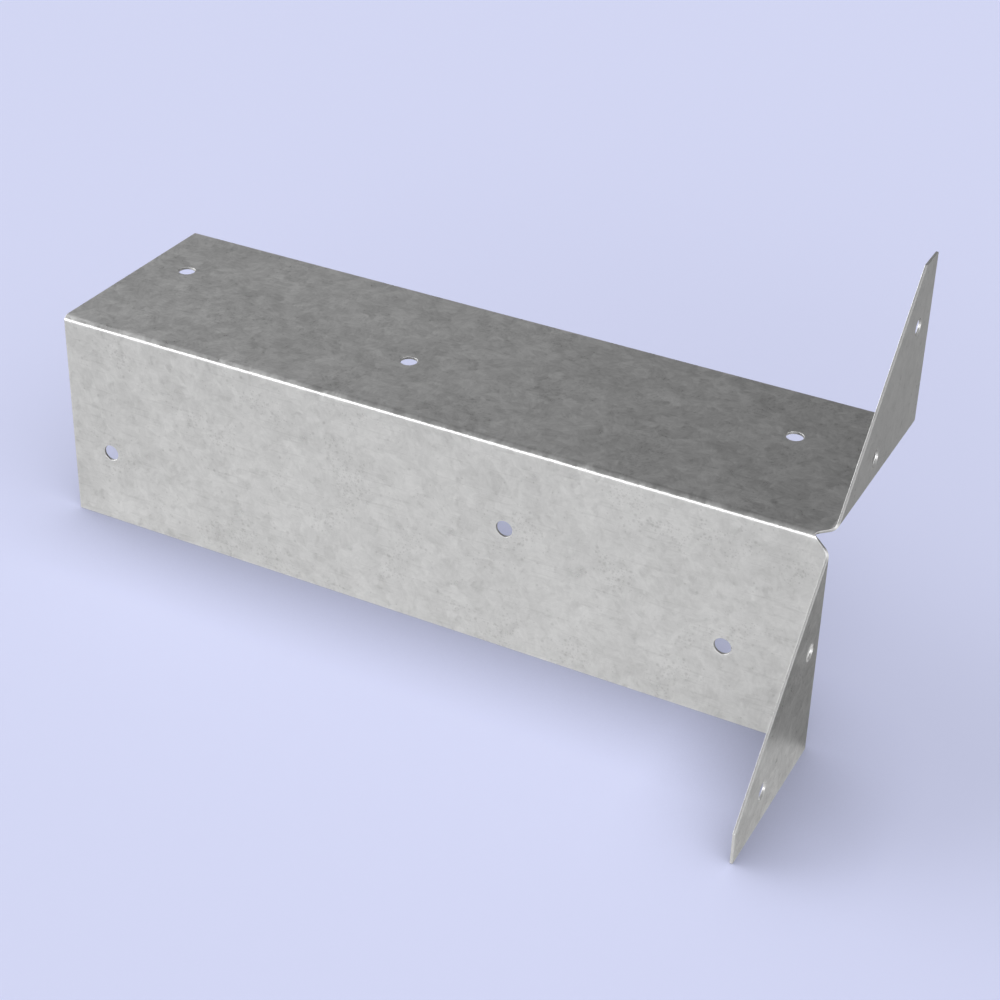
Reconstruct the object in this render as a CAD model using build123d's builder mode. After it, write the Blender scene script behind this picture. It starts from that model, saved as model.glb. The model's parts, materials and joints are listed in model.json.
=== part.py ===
from build123d import *
import math
import os

# A one-piece bracket, folded from galvanised sheet steel. A long bend makes two equal plates at a
# right angle, and at one end a tab is folded outward from each plate.
# Frame: X runs along the long bend, towards the tabs. The top plate is level and faces +Z, and the
# front plate is upright and faces -Y. The origin is the middle of the underside of the outer box.

# Driving dimensions, in millimetres. "Corner" is the sharp outer corner line of the long bend.
LENGTH = 304.8                  # open end to the outer faces of the tabs, 12 in
PLATE_WIDTH = 85.0              # each plate, from the corner to its free edge
TAB_HEIGHT = 66.5               # each tab, from the outer face of its plate
TAB_TIP_WIDTH = 12.2            # what is left of a tab at its far end
SHEET = 1.0                     # 20 gauge galvanised sheet
BEND_INNER_RADIUS = 1.5         # on the hollow side of every bend
NOTCH_DEPTH = 6.0               # point of the V notch on the long bend, from the tabs' outer faces

# Punched holes
HOLE_RADIUS = 3.175             # 1/4 in holes
OPEN_END_HOLE_INSET = 17.3      # hole near the open end, from that end
TAB_END_HOLE_INSET = 33.4       # hole near the tab, from the outer face of the tab
END_HOLE_OFFSET = 54.8          # both of those, from the corner
TOP_MIDDLE_HOLE_X = 129.0       # middle hole of the top plate, from the open end
FRONT_MIDDLE_HOLE_X = 187.2     # middle hole of the front plate, from the open end
MIDDLE_HOLE_OFFSET = 34.6       # both middle holes, from the corner
TAB_NEAR_HOLE_OFFSET = 39.4     # hole near the foot of a tab, from the corner
TAB_NEAR_HOLE_HEIGHT = 9.2      # hole near the foot of a tab, from the outer face of its plate
TAB_FAR_HOLE_EDGE_INSET = 13.2  # hole near the tip of a tab, from the tab's long straight edge
TAB_FAR_HOLE_TIP_INSET = 22.7   # hole near the tip of a tab, from the tab's far end

# Directions in a section sketch, in degrees from its first axis
UPWARD = 90
DOWNWARD = -90

# Derived sizes
BEND_OUTER_RADIUS = BEND_INNER_RADIUS + SHEET
CUT_MARGIN = 2 * SHEET          # how far a cutting shape reaches past the metal it cuts
PLATE_END = LENGTH - BEND_OUTER_RADIUS      # where each plate runs into its tab's bend

# The notch is a V with straight sides in the flat blank. Its sides are laid out along the middle
# layer of the sheet, which keeps its length in a bend. "Run" is the distance from the V's point
# along the blank, and "spread" is the distance from the blank's centre line.
HALF_BEND_DEG = 45              # half way round any of the right-angle bends
NEUTRAL_RADIUS = BEND_INNER_RADIUS + SHEET / 2
HALF_BEND = NEUTRAL_RADIUS * math.radians(HALF_BEND_DEG)
HALF_BEND_REACH = math.sin(math.radians(HALF_BEND_DEG))
run_to_bend = NOTCH_DEPTH - BEND_OUTER_RADIUS
run_to_tip = run_to_bend + 2 * HALF_BEND + TAB_HEIGHT - BEND_INNER_RADIUS
tip_offset = PLATE_WIDTH - TAB_TIP_WIDTH
tip_spread = HALF_BEND + tip_offset - BEND_OUTER_RADIUS


def side_offset(run):
    """Distance from the corner to a side of the V, where the plate is flat."""
    return BEND_OUTER_RADIUS - HALF_BEND + run * tip_spread / run_to_tip


# The corner line at the open end, and the planes that are measured from it
corner = Vector(-LENGTH / 2, (TAB_HEIGHT - PLATE_WIDTH) / 2, PLATE_WIDTH)
top_face = Plane(origin=corner, x_dir=(1, 0, 0), z_dir=(0, 0, 1))       # along X, then back in Y
front_face = Plane(origin=corner, x_dir=(1, 0, 0), z_dir=(0, -1, 0))    # along X, then up in Z
end_face = Plane(origin=corner, x_dir=(0, 1, 0), z_dir=(1, 0, 0))       # back in Y, then up in Z
tab_face = end_face.offset(LENGTH)
fold_mirror = Plane(origin=corner, z_dir=(0, 1, 1))                     # swaps the top and the front

with BuildPart() as bracket_body:
    # Top plate and the upper half of the long bend, up to where the tab's bend begins
    with BuildSketch(end_face) as plate_section:
        with BuildLine() as plate_outline:
            bend_centre = (BEND_OUTER_RADIUS, -BEND_OUTER_RADIUS)
            outer_bend = CenterArc(bend_centre, BEND_OUTER_RADIUS, UPWARD, HALF_BEND_DEG)
            inner_bend = CenterArc(bend_centre, BEND_INNER_RADIUS, UPWARD, HALF_BEND_DEG)
            Line(outer_bend @ 1, inner_bend @ 1)
            Polyline(outer_bend @ 0, (PLATE_WIDTH, 0), (PLATE_WIDTH, -SHEET), inner_bend @ 0)
        make_face()
    extrude(amount=PLATE_END)

    # Upper tab and its bend. It is folded upward, so the hollow side of its bend is on top
    with BuildSketch(front_face.offset(-PLATE_WIDTH)) as tab_section:
        with BuildLine() as tab_outline:
            tab_bend_centre = (PLATE_END, BEND_INNER_RADIUS)
            under_bend = CenterArc(tab_bend_centre, BEND_OUTER_RADIUS, DOWNWARD, 2 * HALF_BEND_DEG)
            over_bend = CenterArc(tab_bend_centre, BEND_INNER_RADIUS, DOWNWARD, 2 * HALF_BEND_DEG)
            Line(under_bend @ 0, over_bend @ 0)
            Polyline(under_bend @ 1, (LENGTH, TAB_HEIGHT), (LENGTH - SHEET, TAB_HEIGHT), over_bend @ 1)
        make_face()
    extrude(amount=PLATE_WIDTH - BEND_OUTER_RADIUS)

    # The V's side through the plate and the first half of the tab's bend, cut straight down
    half_bend_offset = side_offset(run_to_bend + HALF_BEND)
    half_bend_x = PLATE_END + NEUTRAL_RADIUS * HALF_BEND_REACH
    with BuildSketch(top_face) as notch_cut:
        with BuildLine():
            Polyline(
                (LENGTH - NOTCH_DEPTH, -CUT_MARGIN),
                (LENGTH - NOTCH_DEPTH, BEND_OUTER_RADIUS * (1 - HALF_BEND_REACH)),
                (PLATE_END, side_offset(run_to_bend)),
                (half_bend_x, half_bend_offset),
                (LENGTH, half_bend_offset),
                (LENGTH, -CUT_MARGIN),
                close=True,
            )
        make_face()
    extrude(amount=CUT_MARGIN, both=True, mode=Mode.SUBTRACT)

    # The V's side through the rest of the tab's bend and up the tab, cut along X
    half_bend_height = BEND_INNER_RADIUS - NEUTRAL_RADIUS * HALF_BEND_REACH
    with BuildSketch(tab_face) as slant_cut:
        with BuildLine():
            Polyline(
                (-CUT_MARGIN, half_bend_height),
                (half_bend_offset, half_bend_height),
                (side_offset(run_to_bend + 2 * HALF_BEND), BEND_INNER_RADIUS),
                (tip_offset, TAB_HEIGHT),
                (side_offset(run_to_tip + CUT_MARGIN), TAB_HEIGHT + CUT_MARGIN),
                (-CUT_MARGIN, TAB_HEIGHT + CUT_MARGIN),
                close=True,
            )
        make_face()
    extrude(amount=-BEND_OUTER_RADIUS, mode=Mode.SUBTRACT)

    # End holes of the top plate
    with BuildSketch(top_face) as end_holes:
        with Locations(
            (OPEN_END_HOLE_INSET, END_HOLE_OFFSET),
            (LENGTH - TAB_END_HOLE_INSET, END_HOLE_OFFSET),
        ):
            Circle(HOLE_RADIUS)
    extrude(amount=-SHEET, mode=Mode.SUBTRACT)

    # Holes of the upper tab
    with BuildSketch(tab_face) as tab_holes:
        with Locations(
            (TAB_NEAR_HOLE_OFFSET, TAB_NEAR_HOLE_HEIGHT),
            (PLATE_WIDTH - TAB_FAR_HOLE_EDGE_INSET, TAB_HEIGHT - TAB_FAR_HOLE_TIP_INSET),
        ):
            Circle(HOLE_RADIUS)
    extrude(amount=-SHEET, mode=Mode.SUBTRACT)

    # The front plate, the other half of the long bend and the lower tab mirror all of the above
    mirror(about=fold_mirror)

    # The middle holes are staggered, so each plate has its own
    with BuildSketch(top_face) as top_middle_hole:
        with Locations((TOP_MIDDLE_HOLE_X, MIDDLE_HOLE_OFFSET)):
            Circle(HOLE_RADIUS)
    extrude(amount=-SHEET, mode=Mode.SUBTRACT)
    with BuildSketch(front_face) as front_middle_hole:
        with Locations((FRONT_MIDDLE_HOLE_X, -MIDDLE_HOLE_OFFSET)):
            Circle(HOLE_RADIUS)
    extrude(amount=-SHEET, mode=Mode.SUBTRACT)

bracket_body.part.label = "bracket_body"

os.makedirs("parts", exist_ok=True)
export_step(bracket_body.part, "parts/bracket_body.step")
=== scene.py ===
import json
import math

import bpy
from mathutils import Matrix, Vector, geometry


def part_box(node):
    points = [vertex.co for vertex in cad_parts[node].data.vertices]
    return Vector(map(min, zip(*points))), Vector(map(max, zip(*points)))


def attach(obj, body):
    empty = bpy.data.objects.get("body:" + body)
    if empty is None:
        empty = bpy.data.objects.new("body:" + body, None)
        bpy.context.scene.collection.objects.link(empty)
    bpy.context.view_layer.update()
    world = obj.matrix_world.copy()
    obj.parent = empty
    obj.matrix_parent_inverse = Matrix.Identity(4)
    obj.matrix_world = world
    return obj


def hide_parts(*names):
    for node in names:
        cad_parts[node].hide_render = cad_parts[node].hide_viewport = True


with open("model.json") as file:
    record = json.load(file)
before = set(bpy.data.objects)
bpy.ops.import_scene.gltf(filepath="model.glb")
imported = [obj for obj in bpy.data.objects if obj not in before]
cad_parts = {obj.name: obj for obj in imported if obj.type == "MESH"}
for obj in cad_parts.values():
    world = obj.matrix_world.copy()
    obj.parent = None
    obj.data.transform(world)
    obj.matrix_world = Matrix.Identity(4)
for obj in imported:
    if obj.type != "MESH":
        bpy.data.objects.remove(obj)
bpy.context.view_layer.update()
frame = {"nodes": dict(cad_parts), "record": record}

# The visible bracket is one sheet of steel, made as a flat blank and folded in code. Every length
# is in metres, in the CAD frame: X runs along the long bend to the tabs, the top plate is level
# and the front plate faces -Y. In the blank, "u" runs along X from the open end and "v" runs
# across, from the middle of the long bend: positive on the top plate, negative on the front plate.
NODE = "bracket_body"
MM = 0.001
TINY = 1e-6

low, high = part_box(NODE)
mounts = {mount["name"]: mount for mount in frame["record"]["mounts"]}


def mount_place(name):
    """Where the record puts a mount."""
    return Vector(mounts[name]["pos_m"])


def mount_size(name, size):
    """One of a mount's sizes, which the record gives in millimetres."""
    return mounts[name]["dims"][size] * MM


# ---------------------------------------------------------------- sizes, from the frame
TOP_Z = mount_place("top_plate_end_holes").z
FRONT_Y = mount_place("front_plate_end_holes").y
CORNER = Vector((low.x, FRONT_Y, TOP_Z))        # outer corner line of the long bend, open end
LENGTH = high.x - low.x
PLATE_WIDTH = high.y - FRONT_Y
TAB_HEIGHT = high.z - TOP_Z
SHEET = TOP_Z - mount_place("top_plate_underside").z
HOLE_RADIUS = mount_size("top_plate_end_holes", "hole_r_mm")
tip_corners = [p.co.y for p in frame["nodes"][NODE].data.vertices if p.co.z > high.z - TINY]
TAB_TIP_WIDTH = high.y - min(tip_corners)

# These repeat the CAD's own values, which the frame doesn't list
BEND_INNER_RADIUS = 1.5 * MM
NOTCH_DEPTH = 6.0 * MM                          # point of the V notch, from the tabs' outer faces
TAB_NEAR_HOLE_HEIGHT = 9.2 * MM                 # lower hole of a tab, from the face of its plate

BEND_OUTER_RADIUS = BEND_INNER_RADIUS + SHEET
NEUTRAL_RADIUS = BEND_INNER_RADIUS + SHEET / 2
HALF_BEND = NEUTRAL_RADIUS * math.pi / 4        # half a right-angle bend, along the middle layer
BEND_MIDDLE_TURN = math.radians(135)            # of the long bend's middle, from +Y towards +Z
PLATE_END = LENGTH - BEND_OUTER_RADIUS
TAB_START = PLATE_END + 2 * HALF_BEND

# ---------------------------------------------------------------- the flat blank


def across(offset):
    """v of a point that lies that far from the corner line."""
    return offset - BEND_OUTER_RADIUS + HALF_BEND


def up_tab(height):
    """u of a point that far above the face of its plate, on a tab."""
    return TAB_START + height - BEND_INNER_RADIUS


BLANK_EDGE = across(PLATE_WIDTH)
BLANK_TIP = up_tab(TAB_HEIGHT)
TIP_INNER = across(PLATE_WIDTH - TAB_TIP_WIDTH)
NOTCH_POINT = LENGTH - NOTCH_DEPTH
OUTLINE = [
    Vector((0, -BLANK_EDGE)),
    Vector((BLANK_TIP, -BLANK_EDGE)),
    Vector((BLANK_TIP, -TIP_INNER)),
    Vector((NOTCH_POINT, 0)),
    Vector((BLANK_TIP, TIP_INNER)),
    Vector((BLANK_TIP, BLANK_EDGE)),
    Vector((0, BLANK_EDGE)),
]


def hole_centres():
    """Centres of the ten holes in the blank, from the record's bolt patterns."""
    centres = []
    for plate, side in (("top_plate", 1), ("front_plate", -1)):
        pattern = mount_place(plate + "_end_holes") - CORNER
        half_spacing = mount_size(plate + "_end_holes", "spacing_x_mm") / 2
        offset = across(pattern.y if side > 0 else -pattern.z)
        centres.append(Vector((pattern.x - half_spacing, side * offset)))
        near_tab = Vector((pattern.x + half_spacing, side * offset))
        centres.append(near_tab)
        # The middle hole's pattern pairs it with the hole near the tab
        middle = mount_place(plate + "_middle_holes") - CORNER
        middle_v = side * across(middle.y if side > 0 else -middle.z)
        centres.append(2 * Vector((middle.x, middle_v)) - near_tab)
    tab = mount_place("upper_tab_holes") - CORNER
    half_rise = tab.z - TAB_NEAR_HOLE_HEIGHT
    half_pitch = mount_size("upper_tab_holes", "pcd_mm") / 2
    half_run = math.sqrt(half_pitch**2 - half_rise**2)
    for way in (-1, 1):
        hole_u = up_tab(tab.z + way * half_rise)
        hole_v = across(tab.y + way * half_run)
        centres.append(Vector((hole_u, hole_v)))
        centres.append(Vector((hole_u, -hole_v)))
    return centres


HOLES = hole_centres()


def fold(u, v, depth):
    """Where a point of the blank ends up, at a depth below its outer face, and that face's normal."""
    side = 1 if v >= 0 else -1
    reach = abs(v)
    if reach < HALF_BEND:
        turn = BEND_MIDDLE_TURN - reach / NEUTRAL_RADIUS
        radius = BEND_OUTER_RADIUS - depth
        back = BEND_OUTER_RADIUS + radius * math.cos(turn)
        up = radius * math.sin(turn) - BEND_OUTER_RADIUS
        normal = Vector((0, math.cos(turn), math.sin(turn)))
        along = u
    else:
        back = BEND_OUTER_RADIUS + reach - HALF_BEND
        run = min(max(u - PLATE_END, 0), 2 * HALF_BEND)
        turn = run / NEUTRAL_RADIUS
        radius = BEND_INNER_RADIUS + depth
        along = min(u, PLATE_END) + radius * math.sin(turn)
        up = BEND_INNER_RADIUS - radius * math.cos(turn) + max(u - TAB_START, 0)
        normal = Vector((-math.sin(turn), 0, math.cos(turn)))
    if side < 0:
        back, up = -up, -back
        normal = Vector((normal.x, -normal.z, -normal.y))
    return CORNER + Vector((along, back, up)), normal


# ---------------------------------------------------------------- the sheet's mesh
CORNER_ROUND = 0.35 * MM        # sheared corners of the blank
CORNER_STEPS = 4
HOLE_STEPS = 56
GRID = 6.0 * MM                 # spacing of the points inside the plates
BEND_STEPS = 12                 # facets round a right-angle bend
KEEP_CLEAR = 1.0 * MM           # least distance from a grid point to a cut edge
NUDGE = 0.01 * MM               # a step that shows which way a cut edge faces, once folded
SAME_POINT = 1e-7               # points nearer than this, in metres, are one point
ROLL_OVER = 0.16 * MM           # rounding that the shear or punch leaves on the outer face
BURR_ROUND = 0.05 * MM          # rounding on the inner face
ROUND_STEPS = 4
BACK_SHIFT = 0.5                # keeps the inner face's pattern apart from the outer face's
MAP_MARGIN = 4 * MM
FACE_SLOT, EDGE_SLOT = 0, 1     # the zinc-coated faces, and the sheared edges


def rounded(points, radius, steps):
    """A closed outline with each of its corners rounded."""
    made = []
    for i, here in enumerate(points):
        before = (points[i - 1] - here).normalized()
        after = (points[(i + 1) % len(points)] - here).normalized()
        half_angle = before.angle(after) / 2
        bisector = (before + after).normalized()
        centre = here + bisector * radius / math.sin(half_angle)
        start = here + before * radius / math.tan(half_angle)
        end = here + after * radius / math.tan(half_angle)
        for k in range(steps + 1):
            blended = start.lerp(end, k / steps) - centre
            made.append(centre + blended.normalized() * radius)
    return made


def split_long(points, longest):
    """A closed outline with its long sides divided."""
    made = []
    for i, here in enumerate(points):
        after = points[(i + 1) % len(points)]
        count = max(1, math.ceil((after - here).length / longest))
        made += [here.lerp(after, k / count) for k in range(count)]
    return made


def edge_distance(point):
    """How far inside the blank a point is, from its nearest cut edge. It is negative outside."""
    u, v = point.x, abs(point.y)
    notch_side = Vector((BLANK_TIP - NOTCH_POINT, TIP_INNER)).normalized()
    beside = v * notch_side.x - (u - NOTCH_POINT) * notch_side.y
    distances = [u, BLANK_TIP - u, BLANK_EDGE - v, beside]
    distances += [(point - centre).length - HOLE_RADIUS for centre in HOLES]
    return min(distances)


def steps_between(start, end, spacing):
    """Evenly spaced values from start to end, at most that far apart."""
    count = math.ceil((end - start) / spacing)
    return [start + (end - start) * k / count for k in range(count + 1)]


def blank_triangles():
    """Points and triangles of the flat blank."""
    points, edges = [], []

    def add_loop(loop):
        first = len(points)
        points.extend(loop)
        edges.extend((first + k, first + (k + 1) % len(loop)) for k in range(len(loop)))

    def add_line(line):
        first = len(points)
        points.extend(line)
        edges.extend((first + k, first + k + 1) for k in range(len(line) - 1))

    add_loop(split_long(rounded(OUTLINE, CORNER_ROUND, CORNER_STEPS), GRID))
    for centre in HOLES:
        angles = [2 * math.pi * k / HOLE_STEPS for k in range(HOLE_STEPS)]
        add_loop([centre + HOLE_RADIUS * Vector((math.cos(a), math.sin(a))) for a in angles])
    bend = steps_between(-HALF_BEND, HALF_BEND, 2 * HALF_BEND / BEND_STEPS)
    for v in bend:
        add_line([Vector((u, v)) for u in steps_between(-GRID, LENGTH, GRID)])
    for side in (-1, 1):
        for k in bend:
            u = PLATE_END + HALF_BEND + k
            spread = steps_between(HALF_BEND, BLANK_EDGE + GRID, GRID)
            add_line([Vector((u, side * v)) for v in spread])
    for u in steps_between(0, BLANK_TIP, GRID):
        for v in steps_between(-BLANK_EDGE, BLANK_EDGE, GRID):
            inside = edge_distance(Vector((u, v))) > KEEP_CLEAR
            off_long_bend = abs(v) > HALF_BEND + KEEP_CLEAR
            off_tab_bend = not PLATE_END - KEEP_CLEAR < u < TAB_START + KEEP_CLEAR
            if inside and off_long_bend and off_tab_bend:
                points.append(Vector((u, v)))

    found = geometry.delaunay_2d_cdt(points, edges, [], 0, SAME_POINT)
    corners, faces = found[0], found[2]
    kept = []
    for face in faces:
        centre = (corners[face[0]] + corners[face[1]] + corners[face[2]]) / 3
        if edge_distance(centre) > 0:
            kept.append(tuple(face))
    used = sorted({k for face in kept for k in face})
    place = {old: new for new, old in enumerate(used)}
    return [corners[k] for k in used], [tuple(place[k] for k in face) for face in kept]


def rim_loops(faces):
    """The cut edges as closed loops of point numbers, with the metal on their left."""
    directed = {(face[k], face[(k + 1) % 3]) for face in faces for k in range(3)}
    follows = {a: b for a, b in directed if (b, a) not in directed}
    loops = []
    while follows:
        loop = [next(iter(sorted(follows)))]
        while loop[-1] in follows:
            loop.append(follows.pop(loop[-1]))
        loops.append(loop[:-1])
    return loops


def outward_of(points, loop):
    """For each point of a loop, the way out of the metal, lengthened at the corners."""
    ways = {}
    for i, here in enumerate(loop):
        before, after = loop[i - 1], loop[(i + 1) % len(loop)]
        first = (points[here] - points[before]).normalized()
        second = (points[after] - points[here]).normalized()
        out_1, out_2 = Vector((first.y, -first.x)), Vector((second.y, -second.x))
        ways[here] = (out_1 + out_2) / (1 + out_1.dot(out_2))
    return ways


def cut_profile():
    """Section of a cut edge, from outer face to inner face: (inset, depth, turn of the normal)."""
    rows = []
    for k in range(ROUND_STEPS + 1):
        turn = math.pi / 2 * k / ROUND_STEPS
        rows.append((ROLL_OVER * (1 - math.sin(turn)), ROLL_OVER * (1 - math.cos(turn)), turn))
    for k in range(ROUND_STEPS + 1):
        turn = math.pi / 2 * (1 + k / ROUND_STEPS)
        inset = BURR_ROUND * (1 - math.sin(turn))
        rows.append((inset, SHEET - BURR_ROUND * (1 + math.cos(turn)), turn))
    return rows


def build_sheet(materials):
    """The folded sheet: outer face, inner face and cut edges, with its normals and maps."""
    flat, triangles = blank_triangles()
    loops = rim_loops(triangles)
    outward = {}
    for loop in loops:
        outward.update(outward_of(flat, loop))
    profile = cut_profile()
    places, normals = [], []

    def add_point(k, inset, depth, turn):
        """A point of the sheet. turn is 0 on the outer face, 90 degrees on a cut edge."""
        way = outward.get(k, Vector((0, 0)))
        spot = flat[k] - way * inset
        place, face_normal = fold(spot.x, spot.y, depth)
        normal = face_normal * math.cos(turn)
        if way.length > 0:
            step = way.normalized() * NUDGE
            nudged = fold(spot.x + step.x, spot.y + step.y, depth)[0]
            normal += (nudged - place).normalized() * math.sin(turn)
        places.append(place)
        normals.append(normal.normalized())
        return len(places) - 1

    outer = [add_point(k, profile[0][0], 0, 0) for k in range(len(flat))]
    inner = [add_point(k, profile[-1][0], SHEET, math.pi) for k in range(len(flat))]
    rings = {}
    for loop in loops:
        for k in loop:
            between = [add_point(k, *row) for row in profile[1:-1]]
            rings[k] = [outer[k], *between, inner[k]]

    # Distance down the cut edge's section, from where the outer face ends
    down = [0.0]
    for a, b in zip(profile, profile[1:]):
        down.append(down[-1] + math.hypot(b[0] - a[0], b[1] - a[1]))
    wall_row = ROUND_STEPS

    faces, slots, blank_map, edge_map = [], [], [], []
    no_edge = (0.0, 0.0)
    for triangle in triangles:
        faces.append([outer[k] for k in triangle])
        slots.append(FACE_SLOT)
        blank_map.append([tuple(flat[k]) for k in triangle])
        edge_map.append([no_edge] * 3)
        faces.append([inner[k] for k in reversed(triangle)])
        slots.append(FACE_SLOT)
        blank_map.append([(flat[k].x, BACK_SHIFT - flat[k].y) for k in reversed(triangle)])
        edge_map.append([no_edge] * 3)
    for loop in loops:
        travelled = 0.0
        for i, a in enumerate(loop):
            b = loop[(i + 1) % len(loop)]
            step = (flat[b] - flat[a]).length
            for row in range(len(profile) - 1):
                faces.append([rings[a][row], rings[a][row + 1], rings[b][row + 1], rings[b][row]])
                slots.append(EDGE_SLOT if row >= wall_row else FACE_SLOT)
                spread = []
                along = []
                for k, r, at in ((a, row, 0), (a, row + 1, 0), (b, row + 1, 1), (b, row, 1)):
                    spot = flat[k] + outward[k] * (down[r] - profile[0][0])
                    spread.append(tuple(spot))
                    along.append((travelled + at * step, down[r]))
                blank_map.append(spread)
                edge_map.append(along)
            travelled += step

    mesh = bpy.data.meshes.new("galvanised_sheet")
    mesh.from_pydata(places, [], faces)
    for material in materials:
        mesh.materials.append(material)
    mesh.polygons.foreach_set("material_index", slots)
    mesh.polygons.foreach_set("use_smooth", [True] * len(faces))

    # A packed map of the sheet: the two faces of the blank, one above the other
    scale = 1 / (BLANK_TIP + 2 * MAP_MARGIN)
    stacked = 2 * BLANK_EDGE + MAP_MARGIN

    def packed(u, v):
        if v > BACK_SHIFT / 2:
            v = v - BACK_SHIFT + stacked
        return (u + MAP_MARGIN) * scale, (v + BLANK_EDGE + MAP_MARGIN) * scale

    corners = [spot for face in blank_map for spot in face]
    bake_corners = [packed(*spot) for spot in corners]
    edge_corners = [spot for face in edge_map for spot in face]
    for name, spots in (("OFBake", bake_corners), ("blank", corners), ("edge", edge_corners)):
        layer = mesh.uv_layers.new(name=name)
        layer.data.foreach_set("uv", [value for spot in spots for value in spot])
    mesh.normals_split_custom_set_from_vertices(normals)
    mesh.validate()
    mesh.update()
    sheet = bpy.data.objects.new("galvanised_sheet", mesh)
    bpy.context.scene.collection.objects.link(sheet)
    return sheet


# ---------------------------------------------------------------- node helpers


def new_material(name):
    """A material with an empty Principled shader: the material, its node tree and the shader."""
    material = bpy.data.materials.new(name)
    material.use_nodes = True
    tree = material.node_tree
    tree.nodes.clear()
    output = tree.nodes.new("ShaderNodeOutputMaterial")
    shader = tree.nodes.new("ShaderNodeBsdfPrincipled")
    tree.links.new(shader.outputs[0], output.inputs["Surface"])
    return material, tree, shader


def add(tree, kind, inputs=None, **settings):
    """A new node. inputs maps its sockets to values, or to the outputs that feed them."""
    node = tree.nodes.new("ShaderNode" + kind)
    for name, value in settings.items():
        setattr(node, name, value)
    for key, value in (inputs or {}).items():
        if isinstance(value, bpy.types.NodeSocket):
            tree.links.new(value, node.inputs[key])
        else:
            node.inputs[key].default_value = value
    return node


def calc(tree, operation, *values):
    """One sum on numbers."""
    return add(tree, "Math", dict(enumerate(values)), operation=operation).outputs[0]


def calc_points(tree, operation, *values, output="Vector"):
    """One sum on vectors."""
    node = add(tree, "VectorMath", dict(enumerate(values)), operation=operation)
    return node.outputs[output]


def total(tree, values):
    """The sum of several numbers."""
    result = values[0]
    for value in values[1:]:
        result = calc(tree, "ADD", result, value)
    return result


def spread_out(tree, value, start, end, low_value=0.0, high_value=1.0):
    """A number's smooth change from low_value at start to high_value at end."""
    inputs = {"Value": value, "From Min": start, "From Max": end}
    inputs.update({"To Min": low_value, "To Max": high_value})
    return add(tree, "MapRange", inputs, interpolation_type="SMOOTHSTEP").outputs[0]


def about_average(tree, value, weight):
    """A 0 to 1 value as a change of up to half of weight, up or down."""
    return calc(tree, "MULTIPLY_ADD", value, weight, -weight / 2)


def map_in_mm(tree, name, across_scale=(1.0, 1.0)):
    """A map's coordinates, in millimetres, squeezed by across_scale."""
    uv = add(tree, "UVMap", uv_map=name).outputs[0]
    scale = (across_scale[0] / MM, across_scale[1] / MM, 1.0)
    return calc_points(tree, "MULTIPLY", uv, scale)


def noise(tree, place, size, detail, roughness=0.5, output="Fac"):
    """Noise with features about size millimetres wide."""
    inputs = {"Vector": place, "Scale": 1 / size, "Detail": detail, "Roughness": roughness}
    return add(tree, "TexNoise", inputs, noise_dimensions="2D").outputs[output]


def cell_field(tree, place, size):
    """Cells about size millimetres wide: distance from their middles, and a random value for each."""
    inputs = {"Vector": place, "Scale": 1 / size}
    node = add(tree, "TexVoronoi", inputs, voronoi_dimensions="2D", feature="F1")
    pick = add(tree, "SeparateColor", {0: node.outputs["Color"]}).outputs["Green"]
    return node.outputs["Distance"], pick


def soft_cells(tree, place, size, softness):
    """A random value from 0 to 1 for each of a field of cells, blended at their borders."""
    inputs = {"Vector": place, "Scale": 1 / size, "Smoothness": softness}
    node = add(tree, "TexVoronoi", inputs, voronoi_dimensions="2D", feature="SMOOTH_F1")
    return add(tree, "SeparateColor", {0: node.outputs["Color"]}).outputs["Red"]


def grey(tree, value):
    """A number as a grey colour."""
    return add(tree, "CombineColor", {0: value, 1: value, 2: value}).outputs[0]


# ---------------------------------------------------------------- the zinc coating
ZINC_TONE = 0.66                # reflectance
ZINC_ROUGHNESS = 0.33
ZINC_BUMP = 0.5
ZINC_RELIEF = 0.05 * MM

# Noise that bends the shapes of the marks: the size of its features and how far it shifts them, in
# millimetres
WARP_SIZE = 5.0
WARP_REACH = 5.0

# Widths of the marks, in millimetres
CRYSTAL_SIZE = 5.5              # crystals, each with its own direction of feathers
FEATHER_SIZE = 1.3
LARGE_CELL_SIZE = 6.5
SMALL_CELL_SIZE = 2.6
CLOUD_SIZE = 38.0
GRAIN_SIZE = 0.9
STREAK_SIZE = 1.5
STAIN_SIZE = 4.5
CROWD_SIZE = 22.0               # places where specks gather
SPECKS = ((1.1, 0.0), (1.7, 31.7), (2.9, 67.3))     # size of the field, and a shift of its pattern
RUB_SIZE = 1.6                  # waves in the border of the rubbed band
RUB_LEAST = 0.1                 # width of the rubbed band where it is narrowest
RUB_REACH = 1.6                 # how much wider it can be

# Shapes of the marks
FEATHER_STRETCH = 0.3           # less than 1 draws a pattern out
STREAK_STRETCH = 0.07
LARGE_CELL_SOFTNESS = 0.35
SMALL_CELL_SOFTNESS = 0.7
RAGGED = 0.62                   # roughness of the noise that shapes stains
FINE = 0.6                      # roughness of the noise in feathers and grain
STAIN_LIMITS = (0.52, 0.74)     # noise values where a stain starts and is full
SCRATCH_LIMITS = (0.60, 0.72)
CROWD_LIMITS = (0.54, 0.74)
SPECK_SHARES = (0.015, 0.45)    # share of cells with a speck, outside a crowd and in one
SPECK_LIMITS = (0.05, 0.32)     # from a speck's middle to its border, of a cell's width

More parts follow.
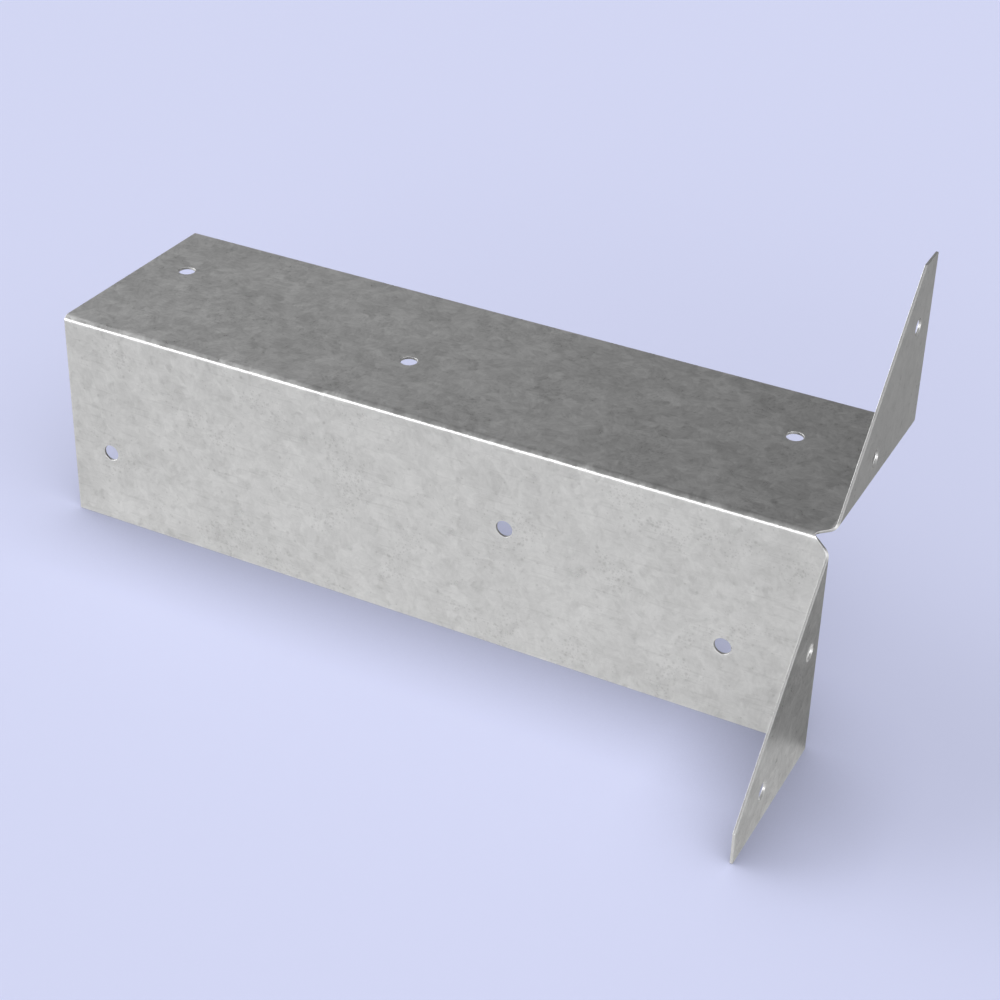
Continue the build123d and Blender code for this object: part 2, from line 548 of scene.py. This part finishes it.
# What each mark changes: reflectance, roughness and height. Those that vary about an average come
# first, and those on a plain ground after them
SPANGLE_WEIGHTS = {
    "large cells": (0.05, 0.04, 0.6),
    "small cells": (0.06, 0.05, 0.6),
    "feathers": (0.13, 0.12, 0.9),
}
VARIED_WEIGHTS = {
    "clouds": (0.08, 0.0, 0.0),
    "grain": (0.05, 0.0, 0.10),
    "streaks": (0.05, 0.0, 0.15),
}
MARK_WEIGHTS = {
    "scratches": (-0.05, 0.0, 0.0),
    "stains": (-0.06, 0.0, 0.0),
    "specks": (-0.09, 0.10, -0.3),
    "rubbed": (0.04, -0.03, 0.0),
}
TONE, ROUGH, HEIGHT = range(3)
TOP_CONTRAST = 2.0              # of the spangle, on the top plate and the upper tab


def distance_to_cut(tree, place):
    """Millimetres from a point of the sheet to its nearest cut edge, and its signed v."""
    parts = add(tree, "SeparateXYZ", {0: place}).outputs
    u, v_shifted = parts[0], parts[1]
    on_back = calc(tree, "GREATER_THAN", v_shifted, BACK_SHIFT / 2 / MM)
    shift = calc(tree, "MULTIPLY", on_back, BACK_SHIFT / MM)
    signed_v = calc(tree, "SUBTRACT", v_shifted, shift)
    v = calc(tree, "ABSOLUTE", signed_v)
    notch_side = Vector((BLANK_TIP - NOTCH_POINT, TIP_INNER)).normalized()
    run = calc(tree, "SUBTRACT", u, NOTCH_POINT / MM)
    beside = calc(tree, "MULTIPLY", v, notch_side.x)
    beside = calc(tree, "SUBTRACT", beside, calc(tree, "MULTIPLY", run, notch_side.y))
    nearest = calc(tree, "MINIMUM", u, calc(tree, "SUBTRACT", BLANK_TIP / MM, u))
    nearest = calc(tree, "MINIMUM", nearest, calc(tree, "SUBTRACT", BLANK_EDGE / MM, v))
    nearest = calc(tree, "MINIMUM", nearest, beside)
    spot = add(tree, "CombineXYZ", {0: u, 1: signed_v}).outputs[0]
    for centre in HOLES:
        middle = (centre.x / MM, centre.y / MM, 0)
        away = calc_points(tree, "DISTANCE", spot, middle, output="Value")
        nearest = calc(tree, "MINIMUM", nearest, calc(tree, "SUBTRACT", away, HOLE_RADIUS / MM))
    return nearest, signed_v


def feather_noise(tree, place, warped):
    """Fine strokes inside each crystal of the zinc, all in that crystal's own direction."""
    crystal_turn = cell_field(tree, warped, CRYSTAL_SIZE)[1]
    angle = calc(tree, "MULTIPLY", crystal_turn, math.pi)
    turned = add(tree, "VectorRotate", {"Vector": place, "Angle": angle}, rotation_type="Z_AXIS")
    drawn_out = calc_points(tree, "MULTIPLY", turned.outputs[0], (FEATHER_STRETCH, 1.0, 1.0))
    return noise(tree, drawn_out, FEATHER_SIZE, detail=4.0, roughness=FINE)


def speck_marks(tree, place):
    """Small specks of several sizes, which gather in a few places."""
    crowd = noise(tree, place, CROWD_SIZE, detail=2.0)
    share = spread_out(tree, crowd, *CROWD_LIMITS, *SPECK_SHARES)
    found = []
    for size, shift in SPECKS:
        shifted = calc_points(tree, "ADD", place, (shift, shift, 0))
        distance, pick = cell_field(tree, shifted, size)
        chosen = calc(tree, "LESS_THAN", pick, share)
        shape = spread_out(tree, distance, *SPECK_LIMITS, 1.0, 0.0)
        found.append(calc(tree, "MULTIPLY", chosen, shape))
    most = found[0]
    for other in found[1:]:
        most = calc(tree, "MAXIMUM", most, other)
    return most


def rubbed_band(tree, place, edge):
    """A band along the cut edges, with an uneven border, where handling has brightened the zinc."""
    reach = noise(tree, place, RUB_SIZE, detail=3.0)
    reach = calc(tree, "MULTIPLY_ADD", reach, RUB_REACH, RUB_LEAST)
    return spread_out(tree, calc(tree, "DIVIDE", edge, reach), 0.0, 1.0, 1.0, 0.0)


def galvanised_material():
    """Zinc-coated sheet: soft spangle, rolling streaks, stains, specks and rubbed edges."""
    material, tree, shader = new_material("galvanised_zinc")
    place = map_in_mm(tree, "blank")
    warp = noise(tree, place, WARP_SIZE, detail=3.0, output="Color")
    warp = calc_points(tree, "SUBTRACT", warp, (0.5, 0.5, 0.5))
    warp = calc_points(tree, "MULTIPLY", warp, (WARP_REACH, WARP_REACH, WARP_REACH))
    warped = calc_points(tree, "ADD", place, warp)
    along_sheet = map_in_mm(tree, "blank", (STREAK_STRETCH, 1.0))
    edge, signed_v = distance_to_cut(tree, place)

    streaks = noise(tree, along_sheet, STREAK_SIZE, detail=3.0)
    ragged = noise(tree, warped, STAIN_SIZE, detail=6.0, roughness=RAGGED)
    marks = {
        "large cells": soft_cells(tree, warped, LARGE_CELL_SIZE, LARGE_CELL_SOFTNESS),
        "small cells": soft_cells(tree, warped, SMALL_CELL_SIZE, SMALL_CELL_SOFTNESS),
        "feathers": feather_noise(tree, place, warped),
        "clouds": noise(tree, place, CLOUD_SIZE, detail=3.0),
        "grain": noise(tree, place, GRAIN_SIZE, detail=3.0, roughness=FINE),
        "streaks": streaks,
        "scratches": spread_out(tree, streaks, *SCRATCH_LIMITS),
        "stains": spread_out(tree, ragged, *STAIN_LIMITS),
        "specks": speck_marks(tree, place),
        "rubbed": rubbed_band(tree, place, edge),
    }

    def changes(weights, kind, centred):
        """The changes that some of the marks make to the tone, the roughness or the height."""
        values = []
        for name, row in weights.items():
            if row[kind] and centred:
                values.append(about_average(tree, marks[name], row[kind]))
            elif row[kind]:
                values.append(calc(tree, "MULTIPLY", marks[name], row[kind]))
        return values

    def all_changes(kind):
        spangle = total(tree, changes(SPANGLE_WEIGHTS, kind, True))
        if kind == TONE:
            bend_v = HALF_BEND / MM
            contrast = spread_out(tree, signed_v, -bend_v, bend_v, 1.0, TOP_CONTRAST)
            spangle = calc(tree, "MULTIPLY", spangle, contrast)
        varied = changes(VARIED_WEIGHTS, kind, True)
        return total(tree, [spangle, *varied, *changes(MARK_WEIGHTS, kind, False)])

    tone = calc(tree, "ADD", all_changes(TONE), ZINC_TONE)
    rough = calc(tree, "ADD", all_changes(ROUGH), ZINC_ROUGHNESS)
    relief = {"Height": all_changes(HEIGHT), "Strength": ZINC_BUMP, "Distance": ZINC_RELIEF}
    tree.links.new(grey(tree, tone), shader.inputs["Base Color"])
    tree.links.new(rough, shader.inputs["Roughness"])
    tree.links.new(add(tree, "Bump", relief).outputs[0], shader.inputs["Normal"])
    shader.inputs["Metallic"].default_value = 1.0
    return material


# ---------------------------------------------------------------- the sheared edges
EDGE_TONE = 0.70
EDGE_ROUGHNESS = 0.30
EDGE_BUMP = 0.4
EDGE_RELIEF = 0.02 * MM
DRAG_SIZE = 0.28                # lines that the shear leaves down the edge
DRAG_STRETCH = 0.12
PIT_SIZE = 0.22
PIT_RAGGED = 0.65               # roughness of the noise that shapes the pits
WANDER_SIZE = 1.4               # waves of the border between the bright and the torn band
TORN_FROM = 0.32                # depth where the torn band starts, in millimetres, at the least
TORN_WANDER = 0.35
TORN_BLUR = 0.06
DRAG_TONE = 0.14                # changes of reflectance
TORN_TONE = -0.10
PIT_TONE = 0.12
TORN_ROUGHNESS = 0.16           # changes of roughness
PIT_ROUGHNESS = 0.10


def cut_edge_material():
    """Sheared steel: a smooth bright band under the roll-over, and a torn, duller band below."""
    material, tree, shader = new_material("cut_edge_steel")
    place = map_in_mm(tree, "edge")
    drag = noise(tree, map_in_mm(tree, "edge", (1.0, DRAG_STRETCH)), DRAG_SIZE, detail=3.0)
    pits = noise(tree, place, PIT_SIZE, detail=3.0, roughness=PIT_RAGGED)
    depth = add(tree, "SeparateXYZ", {0: place}).outputs[1]
    wander = noise(tree, map_in_mm(tree, "edge", (1.0, 0.0)), WANDER_SIZE, detail=2.0)
    torn_from = calc(tree, "MULTIPLY_ADD", wander, TORN_WANDER, TORN_FROM)
    below = calc(tree, "SUBTRACT", depth, torn_from)
    torn = spread_out(tree, below, -TORN_BLUR, TORN_BLUR)
    torn_pits = calc(tree, "MULTIPLY", torn, pits)
    tone = total(
        tree,
        [
            about_average(tree, drag, DRAG_TONE),
            calc(tree, "MULTIPLY", torn, TORN_TONE),
            calc(tree, "MULTIPLY", torn_pits, PIT_TONE),
            EDGE_TONE,
        ],
    )
    rough = calc(tree, "MULTIPLY_ADD", torn, TORN_ROUGHNESS, EDGE_ROUGHNESS)
    rough = calc(tree, "ADD", rough, about_average(tree, pits, PIT_ROUGHNESS))
    height = calc(tree, "ADD", about_average(tree, drag, 1.0), torn_pits)
    relief = {"Height": height, "Strength": EDGE_BUMP, "Distance": EDGE_RELIEF}
    tree.links.new(grey(tree, tone), shader.inputs["Base Color"])
    tree.links.new(rough, shader.inputs["Roughness"])
    tree.links.new(add(tree, "Bump", relief).outputs[0], shader.inputs["Normal"])
    shader.inputs["Metallic"].default_value = 1.0
    return material


# ---------------------------------------------------------------- floor and light
BACKDROP = (0.690, 0.721, 0.957)        # pale lavender
HORIZON_LEVEL = 0.95                    # of the backdrop, where the floor ends
FLOOR_SIZE = 12.0
FLOOR_GLOW = 0.25                       # share of the camera's floor that no cast shadow darkens; the painted contact shade still darkens it
GLOW_STRENGTH = 1.26
PAPER_TONE = 0.90                       # the floor as the metal mirrors it, in front of the bracket
PAINTED_PAPER_SHADE = 0.47                      # the same, painted darker behind it: a painted shadow on the paper
SHADE_HEADING = 96.0                    # of the painted shadow's border, degrees from +Y towards +X
SHADE_BLUR = 3.0 * MM
CONTACT_REACH = 45 * MM                 # of the painted shade that darkens the floor's colour for the camera round the bracket
PAINTED_CONTACT_SHADE = 0.8                     # how dark the painted shade gets where the floor sees no light


def build_floor():
    """A plain pale floor. The camera sees it as a softly lit backdrop, with a painted shade round the
    bracket, and the metal mirrors it as neutral paper, with a painted shadow behind a line through
    the lower tab's corner."""
    half = FLOOR_SIZE / 2
    corners = [(-half, -half), (half, -half), (half, half), (-half, half)]
    mesh = bpy.data.meshes.new("floor")
    mesh.from_pydata([Vector((*corner, low.z)) for corner in corners], [], [range(4)])
    material, tree, shader = new_material("floor_paper")

    # The paper that the metal mirrors is painted darker behind a line through the lower tab's corner.
    # This is a painted shadow that stands in for the floor's shade behind the bracket.
    position = add(tree, "NewGeometry").outputs["Position"]
    from_corner = calc_points(tree, "SUBTRACT", position, (high.x, FRONT_Y, low.z))
    heading = math.radians(SHADE_HEADING)
    backward = (-math.cos(heading), math.sin(heading), 0)
    behind = calc_points(tree, "DOT_PRODUCT", from_corner, backward, output="Value")
    tone = spread_out(tree, behind, -SHADE_BLUR, SHADE_BLUR, PAPER_TONE, PAINTED_PAPER_SHADE)
    paper = add(tree, "BsdfDiffuse", {"Color": grey(tree, tone)})

    # Painted contact shade: the backdrop colour that the camera sees is darkened where ambient
    # occlusion finds the bracket close by.
    near = add(tree, "AmbientOcclusion", {"Distance": CONTACT_REACH}).outputs["AO"]
    level = calc(tree, "MULTIPLY_ADD", near, PAINTED_CONTACT_SHADE, 1 - PAINTED_CONTACT_SHADE)
    backdrop = calc_points(tree, "MULTIPLY", BACKDROP, grey(tree, level))
    shaded = add(tree, "BsdfDiffuse", {"Color": backdrop})
    plain = add(tree, "Emission", {"Color": backdrop, "Strength": GLOW_STRENGTH})
    lit = add(tree, "MixShader", {0: FLOOR_GLOW, 1: shaded.outputs[0], 2: plain.outputs[0]})
    seen = add(tree, "LightPath").outputs["Is Camera Ray"]
    mixed = add(tree, "MixShader", {0: seen, 1: paper.outputs[0], 2: lit.outputs[0]})
    output = tree.nodes["Material Output"]
    tree.links.new(mixed.outputs[0], output.inputs["Surface"])
    tree.nodes.remove(shader)
    mesh.materials.append(material)
    floor = bpy.data.objects.new("floor", mesh)
    bpy.context.scene.collection.objects.link(floor)


# Soft panels of the studio: azimuth and elevation in degrees, and strength. Azimuth 0 points to -Y,
# and 90 to +X
PANELS = [
    (-135, 15, 0.27),
    (-90, 15, 3.3),
    (-90, 50, 0.08),
    (45, 15, 0.50),
    (45, 50, 0.95),
    (90, 50, 0.60),
]
PANEL_HALF_WIDTHS = (5, 42)             # degrees, of the full light and of all of it
ROOM_LIGHT = 0.13

# A long low strip light in front, made of small panels. The long bend mirrors it as a bright line
STRIP_AZIMUTHS = range(-70, 15, 12)
STRIP_ELEVATION = 12
STRIP_HALF_WIDTHS = (3, 12)
STRIP_STRENGTH = 3.1
MIX_COLOURS = (6, 7)                    # a Mix node's two colour sockets


def direction(azimuth, elevation):
    """A unit vector."""
    a, e = math.radians(azimuth), math.radians(elevation)
    return Vector((math.sin(a) * math.cos(e), -math.cos(a) * math.cos(e), math.sin(e)))


def build_room():
    """The studio as a world of soft light panels. The camera sees a plain backdrop."""
    world = bpy.data.worlds.new("studio")
    bpy.context.scene.world = world
    world.use_nodes = True
    tree = world.node_tree
    tree.nodes.clear()
    toward = add(tree, "TexCoord").outputs["Generated"]
    lights = []
    for azimuth, elevation, strength in PANELS:
        lights.append((azimuth, elevation, PANEL_HALF_WIDTHS, strength))
    for azimuth in STRIP_AZIMUTHS:
        lights.append((azimuth, STRIP_ELEVATION, STRIP_HALF_WIDTHS, STRIP_STRENGTH))
    light = ROOM_LIGHT
    for azimuth, elevation, half_widths, strength in lights:
        aim = tuple(direction(azimuth, elevation))
        facing = calc_points(tree, "DOT_PRODUCT", toward, aim, output="Value")
        full, edge = (math.cos(math.radians(width)) for width in half_widths)
        glow = spread_out(tree, facing, edge, full, 0.0, strength)
        light = calc(tree, "ADD", glow, light)
    seen = add(tree, "LightPath").outputs["Is Camera Ray"]
    horizon = tuple(channel * HORIZON_LEVEL for channel in BACKDROP)
    inputs = dict(zip(MIX_COLOURS, (grey(tree, light), (*horizon, 1.0))))
    mixed = add(tree, "Mix", {"Factor": seen, **inputs}, data_type="RGBA").outputs[2]
    background = add(tree, "Background", {"Color": mixed})
    output = tree.nodes.new("ShaderNodeOutputWorld")
    tree.links.new(background.outputs[0], output.inputs["Surface"])


# ---------------------------------------------------------------- the camera
# The camera, from the corner line's open end
CAMERA_FROM_CORNER = Vector((0.4623, -0.5478, 0.3660))
CAMERA_AZIMUTH = 25.55
CAMERA_ELEVATION = 30.10
CAMERA_ROLL = 2.29
CAMERA_LENS = 75.31                     # mm, on a sensor 36 mm wide
SENSOR = 36.0
CAMERA_SHIFT = (-0.0426, -0.0817)


def build_camera():
    """The camera at the photograph's viewpoint."""
    data = bpy.data.cameras.new("camera")
    data.sensor_width = SENSOR
    data.lens = CAMERA_LENS
    data.shift_x, data.shift_y = CAMERA_SHIFT
    camera = bpy.data.objects.new("camera", data)
    bpy.context.scene.collection.objects.link(camera)
    back = direction(CAMERA_AZIMUTH, CAMERA_ELEVATION)
    level = (-back).to_track_quat("-Z", "Y").to_matrix()
    turned = level @ Matrix.Rotation(math.radians(CAMERA_ROLL), 3, "Z")
    camera.matrix_world = Matrix.Translation(CORNER + CAMERA_FROM_CORNER) @ turned.to_4x4()
    bpy.context.scene.camera = camera


# ---------------------------------------------------------------- the scene
bracket = build_sheet([galvanised_material(), cut_edge_material()])
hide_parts(NODE)
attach(bracket, "root")

build_floor()
build_room()
build_camera()
bpy.context.scene.view_settings.view_transform = "Standard"
